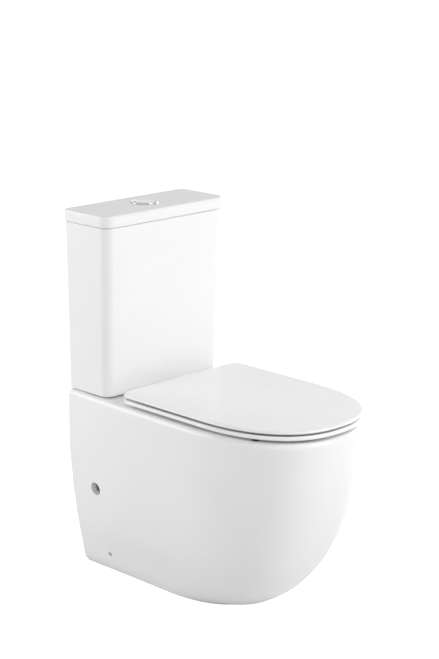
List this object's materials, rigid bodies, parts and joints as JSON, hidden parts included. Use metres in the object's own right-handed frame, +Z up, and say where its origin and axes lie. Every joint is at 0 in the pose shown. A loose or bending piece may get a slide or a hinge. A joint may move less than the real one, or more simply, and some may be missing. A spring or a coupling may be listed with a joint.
{
  "type": "close coupled toilet",
  "caption": "Skirted close coupled toilet with box cistern, top dual flush button and slim hinged seat and lid.",
  "frame": {"origin": "on the floor, midway between the wall plane and the front of the pan, on the centre line", "axes": "+Z up, -Y towards the front of the pan, +Y towards the wall, +X to the right seen from the front"},
  "size_m": [0.3688, 0.6566, 0.843],
  "materials": {
    "vitreous_china": "gloss",
    "seat_plastic": "gloss",
    "chrome": "polished",
    "stainless_steel": "satin",
    "brass": "satin",
    "black_rubber": "matte",
    "blue_plastic": "satin",
    "valve_plastic": "satin"
  },
  "bodies": {
    "toilet_body": {"pan": "vitreous_china", "flush_valve_cage": "valve_plastic", "flush_valve_base": "valve_plastic", "cistern": "vitreous_china", "coupling_seal": "black_rubber", "fill_valve_cap": "blue_plastic", "fill_valve_body": "valve_plastic", "hinge_post_left": "chrome", "hinge_post_right": "chrome", "pan_connector": "valve_plastic", "connector_seal": "black_rubber", "wing_nut_left": "brass", "wing_nut_right": "brass", "fill_shank_washer": "black_rubber", "flush_base_washer": "black_rubber", "flush_backnut": "valve_plastic", "floor_bracket_left": "stainless_steel", "floor_bracket_right": "stainless_steel", "cistern_bolt_left": "brass", "side_screw_left": "stainless_steel", "cistern_bolt_right": "brass", "side_screw_right": "stainless_steel", "seat_damper_left": "valve_plastic", "seat_damper_right": "valve_plastic", "bolt_washer_left": "black_rubber", "stud_washer_left": "black_rubber", "bolt_washer_right": "black_rubber", "stud_washer_right": "black_rubber", "fill_shank_nut": "valve_plastic", "stud_nut_left": "valve_plastic", "stud_nut_right": "valve_plastic", "cistern_pad_left": "black_rubber", "cistern_pad_right": "black_rubber", "hinge_pin_left": "stainless_steel", "seat_stud_left": "stainless_steel", "hinge_pin_right": "stainless_steel", "seat_stud_right": "stainless_steel"},
    "seat_ring_body": {"seat_ring": "seat_plastic", "ring_bumper_rear_left": "black_rubber", "ring_bumper_front_left": "black_rubber", "ring_bumper_rear_right": "black_rubber", "ring_bumper_front_right": "black_rubber"},
    "seat_lid_body": {"seat_lid": "seat_plastic", "lid_bumper_left": "black_rubber", "lid_bumper_right": "black_rubber"},
    "cistern_lid_body": {"cistern_lid": "vitreous_china", "button_bezel": "chrome", "button_housing_nut": "valve_plastic", "full_button_spring": "stainless_steel", "half_button_spring": "stainless_steel"},
    "full_button_body": {"full_flush_button": "chrome"},
    "half_button_body": {"half_flush_button": "chrome"},
    "flush_lever_body": {"flush_lever": "blue_plastic"},
    "flush_riser_body": {"flush_riser": "blue_plastic", "riser_float": "valve_plastic", "flush_seal": "black_rubber"},
    "float_body": {"float_cup": "valve_plastic"},
    "float_arm_body": {"float_arm": "blue_plastic"}
  },
  "joints": [
    {"name": "seat_ring_hinge", "type": "hinge", "parent": "toilet_body", "child": "seat_ring_body", "pos_m": [0, 0.153, 0.443], "axis": [-1, 0, 0], "range_deg": [0, 92]},
    {"name": "seat_lid_hinge", "type": "hinge", "parent": "seat_ring_body", "child": "seat_lid_body", "pos_m": [0, 0.153, 0.443], "axis": [1, 0, 0], "range_deg": [-92, 0]},
    {"name": "cistern_lid_lift", "type": "slide", "parent": "toilet_body", "child": "cistern_lid_body", "axis": [0, 0, 1], "range_m": [0, 0.12]},
    {"name": "full_flush_press", "type": "slide", "parent": "cistern_lid_body", "child": "full_button_body", "axis": [0, 0, -1], "range_m": [0, 0.005], "stiffness_N_per_m": 300, "springref_m": -0.006, "deforming": ["full_button_spring"]},
    {"name": "half_flush_press", "type": "slide", "parent": "cistern_lid_body", "child": "half_button_body", "axis": [0, 0, -1], "range_m": [0, 0.005], "stiffness_N_per_m": 300, "springref_m": -0.006, "deforming": ["half_button_spring"]},
    {"name": "flush_lever_turn", "type": "hinge", "parent": "toilet_body", "child": "flush_lever_body", "pos_m": [-0.007, 0.261, 0.712], "axis": [0, -1, 0], "range_deg": [0, 32]},
    {"name": "flush_riser_lift", "type": "slide", "parent": "toilet_body", "child": "flush_riser_body", "axis": [0, 0, 1], "range_m": [0, 0.009]},
    {"name": "float_drop", "type": "slide", "parent": "toilet_body", "child": "float_body", "axis": [0, 0, -1], "range_m": [0, 0.012]},
    {"name": "float_arm_turn", "type": "hinge", "parent": "toilet_body", "child": "float_arm_body", "pos_m": [-0.138, 0.261, 0.761], "axis": [0, 1, 0], "range_deg": [0, 17.5]}
  ],
  "couplings": [
    {"joint": "flush_lever_turn", "follows": "full_flush_press", "rad_per_m": 111.11},
    {"joint": "flush_riser_lift", "follows": "full_flush_press", "ratio": 1.7777},
    {"joint": "float_arm_turn", "follows": "float_drop", "rad_per_m": 25}
  ]
}
